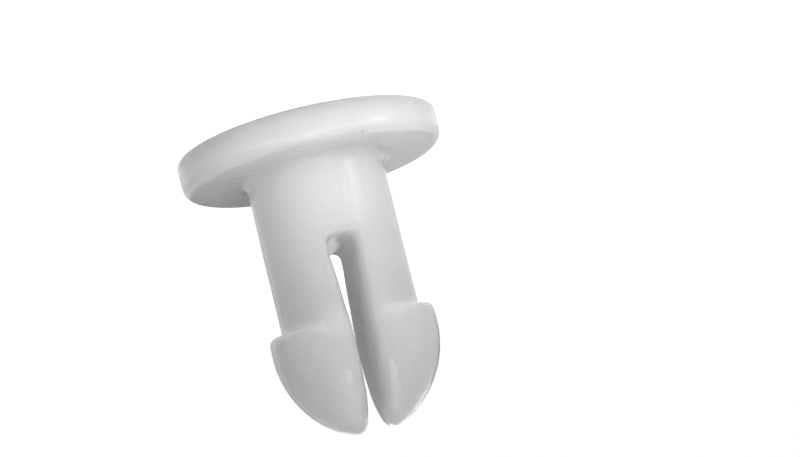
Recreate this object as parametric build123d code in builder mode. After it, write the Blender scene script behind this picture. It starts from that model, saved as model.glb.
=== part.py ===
"""One-piece push-in fastener, moulded in nylon.

A flat round head, a plain shank and a split snap nose. It stands on the outer
face of its head. The origin is the centre of the seat, the underside of the
head that bears on the panel, and +Z runs along the shank to the tips.
The slot parts the two legs along X and runs right through along Y.
Lengths are in millimetres and angles in degrees.
"""
import os
from math import radians, tan

from build123d import *

# Head
head_diameter = 11.9
head_thickness = 1.55
seat_edge_radius = 0.5
face_edge_chamfer = 0.12

# Shank, slightly thinner at the shoulder so that it leaves the mould
shank_diameter = 6.3
shank_end_diameter = 6.2
grip_length = 7.0

# Snap nose: a round as wide as the shank's end on each leg, set outward from the axis, so that
# its shoulder stands out at the sides and runs nearly flush with the shank at the slot
nose_offset = 0.64
barb_land = 0.8
shoulder_radius = 0.3
nose_length = 4.17
tip_radius = 1.1
tip_flat = 0.32

# Slot, narrower toward the tips and at mid depth, where the mould parts
slot_start = 3.5
root_width = 1.54
shoulder_width = 1.14
mouth_width = 0.86
root_radius = 0.25
mouth_radius = 0.5
slot_draft = 0.6
slot_edge_radius = 0.15

# Worked out from the sizes above
head_radius = head_diameter / 2
shank_radius = shank_diameter / 2
shank_end_radius = shank_end_diameter / 2
nose_radius = shank_end_radius
barb_radius = nose_offset + nose_radius
land_end = grip_length + barb_land
stem_length = land_end + nose_length
slot_reach = barb_radius + 0.5


def slot_profile(depth):
    """The slot seen along Y, at this depth from the parting plane through the axis."""
    growth = abs(depth) * tan(radians(slot_draft))
    at_root = root_width / 2 + growth
    at_shoulder = shoulder_width / 2 + growth
    at_mouth = mouth_width / 2 + growth
    with BuildSketch(Plane.XZ.offset(depth)) as profile:
        with BuildLine():
            half = Polyline(
                (0, slot_start - growth),
                (at_root, slot_start - growth),
                (at_shoulder, grip_length),
                (at_mouth, stem_length),
                (barb_radius, stem_length),
                (barb_radius, stem_length + 1),
                (0, stem_length + 1),
            )
            mirror(half, about=Plane.YZ)
        make_face()
        fillet(profile.vertices().group_by(Axis.Y)[0], radius=root_radius)
        lips = profile.vertices().group_by(Axis.Y)[-2].sort_by(Axis.X)[1:3]
        fillet(lips, radius=mouth_radius)
    return profile.sketch


def is_slot_mouth(middle):
    """True for the middle of an edge where the slot meets the outside of the shank or the nose."""
    beside_slot = abs(middle.X) < root_width / 2 + slot_reach * tan(radians(slot_draft))
    outside = abs(middle.Y) > 0.7 * nose_radius
    past_root = middle.Z > slot_start - root_width / 2
    return beside_slot and outside and past_root


with BuildPart() as nose:
    # One leg's nose about its own axis, whole: the slot later takes away its inner side.
    with BuildSketch(Plane.XZ) as nose_outline:
        with BuildLine():
            Polyline(
                (0, stem_length),
                (0, grip_length),
                (nose_radius, grip_length),
                (nose_radius, land_end),
            )
            TangentArc((nose_radius, land_end), (tip_flat, stem_length), tangent=(0, 1))
            Line((tip_flat, stem_length), (0, stem_length))
        make_face()
        for corner, radius in (
            ((nose_radius, grip_length), shoulder_radius),
            ((tip_flat, stem_length), tip_radius),
        ):
            fillet(nose_outline.vertices().sort_by_distance((*corner, 0))[0], radius=radius)
    revolve(axis=Axis.Z)

with BuildPart() as fastener:
    # Head and shank have one round outline, turned about Z. The shank ends inside the nose.
    with BuildSketch(Plane.XZ) as outline:
        with BuildLine():
            Polyline(
                (0, grip_length + barb_land / 2),
                (0, -head_thickness),
                (head_radius, -head_thickness),
                (head_radius, 0),
                (shank_radius, 0),
                (shank_end_radius, grip_length),
                (shank_end_radius, grip_length + barb_land / 2),
                (0, grip_length + barb_land / 2),
            )
        make_face()
        face_edge = outline.vertices().sort_by_distance((head_radius, -head_thickness, 0))[0]
        chamfer(face_edge, length=face_edge_chamfer)
        seat_edge = outline.vertices().sort_by_distance((head_radius, 0, 0))[0]
        fillet(seat_edge, radius=seat_edge_radius)
    revolve(axis=Axis.Z)

    with Locations((nose_offset, 0, 0), (-nose_offset, 0, 0)):
        add(nose.part)

    # The slot widens from the parting plane to each side of the shank.
    for side in (1, -1):
        loft([slot_profile(0), slot_profile(side * slot_reach)], ruled=True, mode=Mode.SUBTRACT)

    # A small round on both mouths of the slot, across its root and up both legs to the tips.
    mouths = fastener.edges().filter_by(lambda edge: is_slot_mouth(edge.center()))
    fillet(mouths, radius=slot_edge_radius)

fastener.part.label = "push_in_fastener"
os.makedirs("parts", exist_ok=True)
export_step(fastener.part, "parts/push_in_fastener.step")
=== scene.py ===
import math

import bmesh
import bpy
from mathutils import Matrix, Vector


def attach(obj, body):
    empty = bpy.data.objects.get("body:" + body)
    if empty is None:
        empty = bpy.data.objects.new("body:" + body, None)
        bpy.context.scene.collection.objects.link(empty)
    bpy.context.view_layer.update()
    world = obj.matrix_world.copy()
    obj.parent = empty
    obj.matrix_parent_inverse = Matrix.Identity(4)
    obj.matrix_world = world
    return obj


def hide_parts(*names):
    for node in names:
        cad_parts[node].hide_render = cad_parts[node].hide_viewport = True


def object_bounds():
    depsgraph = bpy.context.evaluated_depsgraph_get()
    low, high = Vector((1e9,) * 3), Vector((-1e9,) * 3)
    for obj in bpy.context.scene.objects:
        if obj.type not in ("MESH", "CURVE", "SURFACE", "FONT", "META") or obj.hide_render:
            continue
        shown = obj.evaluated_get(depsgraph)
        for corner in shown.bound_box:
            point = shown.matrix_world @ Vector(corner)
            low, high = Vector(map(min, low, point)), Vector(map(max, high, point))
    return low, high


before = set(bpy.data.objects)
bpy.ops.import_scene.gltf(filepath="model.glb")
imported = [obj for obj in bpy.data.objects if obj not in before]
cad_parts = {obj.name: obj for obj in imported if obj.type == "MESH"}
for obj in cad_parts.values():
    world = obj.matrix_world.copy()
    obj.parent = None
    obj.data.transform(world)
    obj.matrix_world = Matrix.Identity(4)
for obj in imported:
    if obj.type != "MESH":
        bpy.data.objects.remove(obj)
cad_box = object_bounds()


# Push-in fastener: head, shank and split snap nose are one moulding, shot in one go in a two-part
# mould. It is a copy of the solid with the soft corners of the real one: a small round where the
# shank meets the seat, and a broad one along the slot, which fades out at its root and the tips.
MM = 0.001
seat_height = 0.0
shank_radius = 3.15 * MM
stem_length = cad_box[1][2]
slot_root = 3.5 * MM
half_slot_at_root = 0.77 * MM
half_slot_at_tips = 0.43 * MM
crisp_ends = 1.0 * MM
leg_width = 1.6 * MM
legs_inward = 0.16 * MM
face_size = 0.1 * MM

# The copy gets small, even faces first, so that smoothing rounds every corner alike.
bm = bmesh.new()
bm.from_mesh(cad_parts["push_in_fastener"].data)
bmesh.ops.remove_doubles(bm, verts=bm.verts, dist=0.01 * face_size)
fastener_mesh = bpy.data.meshes.new("moulding")
bm.to_mesh(fastener_mesh)
bm.free()
fastener = bpy.data.objects.new("moulding", fastener_mesh)
bpy.context.scene.collection.objects.link(fastener)
even_faces = fastener.modifiers.new("even_faces", "REMESH")
even_faces.mode = "VOXEL"
even_faces.voxel_size = face_size
bm = bmesh.new()
bm.from_object(fastener, bpy.context.evaluated_depsgraph_get())
fastener.modifiers.clear()


def soften(from_corner, reaches, times):
    """Rounds what lies near a corner, most where all the reaches, in mm, overlap."""
    every_axis = {"use_axis_x": True, "use_axis_y": True, "use_axis_z": True}
    for reach in reaches:
        near = [vert for vert in bm.verts if from_corner(vert.co) < reach * MM]
        for _ in range(times):
            bmesh.ops.smooth_vert(bm, verts=near, factor=0.5, **every_axis)


def from_shank_root(point):
    """Distance from the circle where the shank meets the seat."""
    return math.hypot(math.hypot(point.x, point.y) - shank_radius, point.z - seat_height)


def from_slot(point):
    """Distance from the slot, less the crisp ends at its root and at the tips."""
    along = (point.z - slot_root) / (stem_length - slot_root)
    half_width = half_slot_at_root + (half_slot_at_tips - half_slot_at_root) * along
    beyond_ends = max(0, slot_root + crisp_ends - point.z, point.z - stem_length + crisp_ends)
    return math.hypot(max(0, abs(point.x) - half_width), beyond_ends)


# Rounds along the slot would open it to the eye, so its sides come in by as much first.
for vert in bm.verts:
    nearness = max(0, 1 - from_slot(vert.co) / leg_width)
    vert.co.x -= math.copysign(legs_inward * nearness, vert.co.x)

# The whole piece loses the fine steps of its faces, and the two corners are rounded further.
soften(lambda point: 0, reaches=(1,), times=2)
soften(from_shank_root, reaches=(0.9, 0.75, 0.6, 0.5, 0.4), times=6)
soften(from_slot, reaches=(1.2, 1.0, 0.8, 0.6, 0.4), times=13)

# The piece stays inside the solid's box, so it stands flat on the floor.
for vert in bm.verts:
    vert.co = [min(max(part, low), high) for part, low, high in zip(vert.co, *cad_box)]
for face in bm.faces:
    face.smooth = True
bm.to_mesh(fastener_mesh)
bm.free()


def linear(code):
    """A colour written as sRGB hex, as the linear colour that a shader takes."""
    parts = [int(code[i:i + 2], 16) / 255 for i in (0, 2, 4)]
    curve = [p / 12.92 if p <= 0.04045 else ((p + 0.055) / 1.055) ** 2.4 for p in parts]
    return (*curve, 1.0)


def add_node(material, kind, values=None, links=None, **settings):
    """Adds a node: values and links go to its inputs by name or number, settings to itself."""
    node = material.node_tree.nodes.new(kind)
    for name, value in settings.items():
        setattr(node, name, value)
    for socket, value in (values or {}).items():
        node.inputs[socket].default_value = value
    for socket, source in (links or {}).items():
        material.node_tree.links.new(source, node.inputs[socket])
    return node


# Natural nylon 6/6, injection moulded. The polymer is milky: light goes in by about 3 mm, which
# softens every shade. The mould's steel was finely blasted, which leaves a half gloss with a
# mottle of about 0.25 mm, and the melt is never quite even in colour.
nylon = bpy.data.materials.new("moulded_nylon")
nylon.use_nodes = True
nylon.node_tree.nodes.clear()
place = add_node(nylon, "ShaderNodeTexCoord")

cloud = add_node(
    nylon, "ShaderNodeTexNoise",
    {"Scale": 1 / (2.5 * MM), "Detail": 3.0, "Roughness": 0.5},
    {"Vector": place.outputs["Object"]},
)
tint = add_node(
    nylon, "ShaderNodeMix",
    {"A": linear("EFEFEE"), "B": linear("F6F6F5")},
    {"Factor": cloud.outputs["Fac"]},
    data_type="RGBA",
)

# One faint speck of charred melt, 0.3 mm across, sits on the round of the seat's edge.
speck_place = (-1.44 * MM, -5.46 * MM, -0.045 * MM)
speck_radius = 0.15 * MM
from_speck = add_node(
    nylon, "ShaderNodeVectorMath",
    {1: speck_place},
    {0: place.outputs["Object"]},
    operation="DISTANCE",
)
speck = add_node(
    nylon, "ShaderNodeMapRange",
    {"From Min": 0.0, "From Max": speck_radius, "To Min": 0.5, "To Max": 0.0},
    {"Value": from_speck.outputs["Value"]},
    interpolation_type="SMOOTHSTEP",
)
colour = add_node(
    nylon, "ShaderNodeMix",
    {"B": linear("7A7A78")},
    {"Factor": speck.outputs["Result"], "A": tint.outputs["Result"]},
    data_type="RGBA",
)

# The mottle breaks up both the gloss and the surface. The grain of the blasting is about
# 0.03 mm, too fine to show, and is drawn at 0.16 mm.
mottle = add_node(
    nylon, "ShaderNodeTexNoise",
    {"Scale": 1 / (0.25 * MM), "Detail": 2.0, "Roughness": 0.5},
    {"Vector": place.outputs["Object"]},
)
gloss = add_node(
    nylon, "ShaderNodeMapRange",
    {"From Min": 0.35, "From Max": 0.65, "To Min": 0.18, "To Max": 0.27},
    {"Value": mottle.outputs["Fac"]},
)
blast = add_node(
    nylon, "ShaderNodeTexNoise",
    {"Scale": 1 / (0.16 * MM), "Detail": 2.0, "Roughness": 0.5},
    {"Vector": place.outputs["Object"]},
)
waves = add_node(
    nylon, "ShaderNodeBump",
    {"Strength": 0.5, "Distance": 0.05 * MM},
    {"Height": mottle.outputs["Fac"]},
)
skin = add_node(
    nylon, "ShaderNodeBump",
    {"Strength": 0.4, "Distance": 0.0015 * MM},
    {"Height": blast.outputs["Fac"], "Normal": waves.outputs["Normal"]},
)
shell = add_node(
    nylon, "ShaderNodeBsdfPrincipled",
    {
        "IOR": 1.53,
        "Subsurface Weight": 1.0,
        "Subsurface Radius": (1.0, 1.0, 1.0),
        "Subsurface Scale": 3.0 * MM,
    },
    {
        "Base Color": colour.outputs["Result"],
        "Roughness": gloss.outputs["Result"],
        "Normal": skin.outputs["Normal"],
    },
)
add_node(nylon, "ShaderNodeOutputMaterial", None, {"Surface": shell.outputs["BSDF"]})
fastener.data.materials.append(nylon)
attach(fastener, "root")
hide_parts("push_in_fastener")


# Floor: a sheet of white paper under the head. It looks as white as the room behind it, and its
# lit share falls in the fastener's shadow, which it keeps.
floor_radius = 2.0
bm = bmesh.new()
bmesh.ops.create_circle(bm, cap_ends=True, segments=96, radius=floor_radius)
bmesh.ops.translate(bm, verts=bm.verts, vec=(0, 0, cad_box[0][2]))
floor_mesh = bpy.data.meshes.new("floor")
bm.to_mesh(floor_mesh)
bm.free()
floor = bpy.data.objects.new("floor", floor_mesh)
bpy.context.scene.collection.objects.link(floor)
paper = bpy.data.materials.new("white_paper")
paper.use_nodes = True
paper.node_tree.nodes.clear()
matt = add_node(paper, "ShaderNodeBsdfDiffuse", {"Color": linear("EBEBEB")})
glow = add_node(paper, "ShaderNodeEmission", {"Strength": 0.96})
lit = add_node(
    paper, "ShaderNodeAddShader", None,
    {0: matt.outputs["BSDF"], 1: glow.outputs["Emission"]},
)


def background_rays(material):
    """1 for a ray that shows the background: to the camera, in a gloss or through glass."""
    rays = add_node(material, "ShaderNodeLightPath")
    direct = add_node(
        material, "ShaderNodeMath", None,
        {0: rays.outputs["Is Camera Ray"], 1: rays.outputs["Is Glossy Ray"]},
        operation="MAXIMUM",
    )
    return add_node(
        material, "ShaderNodeMath", None,
        {0: direct.outputs["Value"], 1: rays.outputs["Is Transmission Ray"]},
        operation="MAXIMUM",
    ).outputs["Value"]


paper_surface = add_node(
    paper, "ShaderNodeMixShader", None,
    {"Fac": background_rays(paper), 1: matt.outputs["BSDF"], 2: lit.outputs["Shader"]},
)
add_node(paper, "ShaderNodeOutputMaterial", None, {"Surface": paper_surface.outputs["Shader"]})
floor.data.materials.append(paper)


# Room: white where it shows, and a soft even light on the fastener, dimmer overhead.
room = bpy.data.worlds.new("studio")
bpy.context.scene.world = room
room.use_nodes = True
room.node_tree.nodes.clear()
sky = add_node(room, "ShaderNodeTexCoord")
facing = add_node(room, "ShaderNodeSeparateXYZ", None, {0: sky.outputs["Generated"]})
fall = add_node(
    room, "ShaderNodeMapRange",
    {"From Min": 0.0, "From Max": 1.0, "To Min": 0.1, "To Max": 0.06},
    {"Value": facing.outputs["Z"]},
)
soft = add_node(
    room, "ShaderNodeBackground",
    {"Color": linear("FFFFFF")},
    {"Strength": fall.outputs["Result"]},
)
white = add_node(room, "ShaderNodeBackground", {"Color": linear("FFFFFF"), "Strength": 1.0})
walls = add_node(
    room, "ShaderNodeMixShader", None,
    {"Fac": background_rays(room), 1: soft.outputs["Background"], 2: white.outputs["Background"]},
)
add_node(room, "ShaderNodeOutputWorld", None, {"Surface": walls.outputs["Shader"]})


# Lamps, all close to the fastener. Broad panels hang over its front, its right side and its back.
# Two low ones shine down on the paper, which throws their light up at the head's side. A tiny
# one beside the head gives the faint gloss along the shank.
def panel(name, azimuth, reach, height, size, power, aim_reach=0):
    """A soft light, in mm, degrees and watts, aimed at seat height at a reach on its own side."""
    lamp = bpy.data.lights.new(name, "AREA")
    lamp.shape = "RECTANGLE"
    lamp.size, lamp.size_y = (side * MM for side in size)
    lamp.energy = power
    lamp_object = bpy.data.objects.new(name, lamp)
    out = Vector((math.cos(math.radians(azimuth)), math.sin(math.radians(azimuth)), 0))
    rise = Vector((0, 0, height))
    lamp_object.location = (out * reach + rise) * MM
    way = out * (reach - aim_reach) + rise
    lamp_object.rotation_euler = way.to_track_quat("Z", "Y").to_euler()
    lamp_object.visible_camera = False
    bpy.context.scene.collection.objects.link(lamp_object)


panel("top_panel", azimuth=-90, reach=8, height=60, size=(40, 40), power=0.0060)
panel("front_panel", azimuth=-88, reach=40, height=46, size=(24, 24), power=0.0056)
panel("side_panel", azimuth=-150, reach=55, height=20, size=(30, 24), power=0.0016)
panel("back_panel", azimuth=110, reach=50, height=32, size=(50, 20), power=0.0038)
panel("low_right", azimuth=-118, reach=26, height=6, size=(30, 12), power=0.0037, aim_reach=26)
panel("low_left", azimuth=-58, reach=26, height=6, size=(30, 12), power=0.0034, aim_reach=26)
panel("gloss_lamp", azimuth=-131, reach=13, height=-0.6, size=(1.0, 1.0), power=0.00010)


# Cards: two curved grey ones behind the fastener, which the camera doesn't see. The seat and the
# left edges mirror the left one, and the nose's right edge the other, and are darker for it, as
# in the photo. The nose's card shows in gloss alone.
def card(name, azimuths, heights, colour):
    """A card round the origin, from one azimuth and height to another, in degrees and mm."""
    reach = 24 * MM
    start, end = (math.radians(angle) for angle in azimuths)
    foot, top = (height * MM for height in heights)
    bm = bmesh.new()
    corner = bm.verts.new((reach * math.cos(start), reach * math.sin(start), foot))
    bmesh.ops.spin(bm, geom=[corner], axis=(0, 0, 1), cent=(0, 0, 0), angle=end - start, steps=12)
    raised = bmesh.ops.extrude_edge_only(bm, edges=bm.edges[:])["geom"]
    upper = [part for part in raised if isinstance(part, bmesh.types.BMVert)]
    bmesh.ops.translate(bm, verts=upper, vec=(0, 0, top - foot))
    sheet_mesh = bpy.data.meshes.new(name)
    bm.to_mesh(sheet_mesh)
    bm.free()
    sheet = bpy.data.objects.new(name, sheet_mesh)
    bpy.context.scene.collection.objects.link(sheet)
    grey = bpy.data.materials.new(name + "_paint")
    grey.use_nodes = True
    grey.node_tree.nodes.clear()
    dull = add_node(grey, "ShaderNodeBsdfDiffuse", {"Color": linear(colour)})
    add_node(grey, "ShaderNodeOutputMaterial", None, {"Surface": dull.outputs["BSDF"]})
    sheet.data.materials.append(grey)
    sheet.visible_camera = False
    return sheet


card("left_card", azimuths=(72, 97), heights=(cad_box[0][2] / MM, 16), colour="E0E0E0")
nose_card = card("nose_card", azimuths=(109, 135), heights=(5.5, 16), colour="989898")
nose_card.visible_diffuse = False
nose_card.visible_shadow = False


# Camera: a close view of the seat's side, and turned over, so that the head is up in the picture.
azimuth, elevation, roll = math.radians(12.60), math.radians(9.28), math.radians(165.79)
distance = 64.0 * MM
pixels_per_mm = 22.18
picture_width = 800
picture_centre = (399.5, 228)
seat_in_picture = (313.8, 171.1)
focal = pixels_per_mm * distance / MM
back = Vector((
    math.sin(azimuth) * math.cos(elevation),
    -math.cos(azimuth) * math.cos(elevation),
    math.sin(elevation),
))
level = Vector((math.cos(azimuth), math.sin(azimuth), 0))
upright = back.cross(level)
right = math.cos(roll) * level + math.sin(roll) * upright
up = -math.sin(roll) * level + math.cos(roll) * upright
seat = distance / focal * Vector((
    seat_in_picture[0] - picture_centre[0],
    picture_centre[1] - seat_in_picture[1],
    -focal,
))
eye = -(right * seat.x + up * seat.y + back * seat.z)
lens = bpy.data.cameras.new("camera")
lens.lens = focal / picture_width * lens.sensor_width
lens.clip_start = MM
camera = bpy.data.objects.new("camera", lens)
camera.matrix_world = Matrix.Translation(eye) @ Matrix((right, up, back)).transposed().to_4x4()
bpy.context.scene.collection.objects.link(camera)
bpy.context.scene.camera = camera
bpy.context.scene.view_settings.view_transform = "Standard"
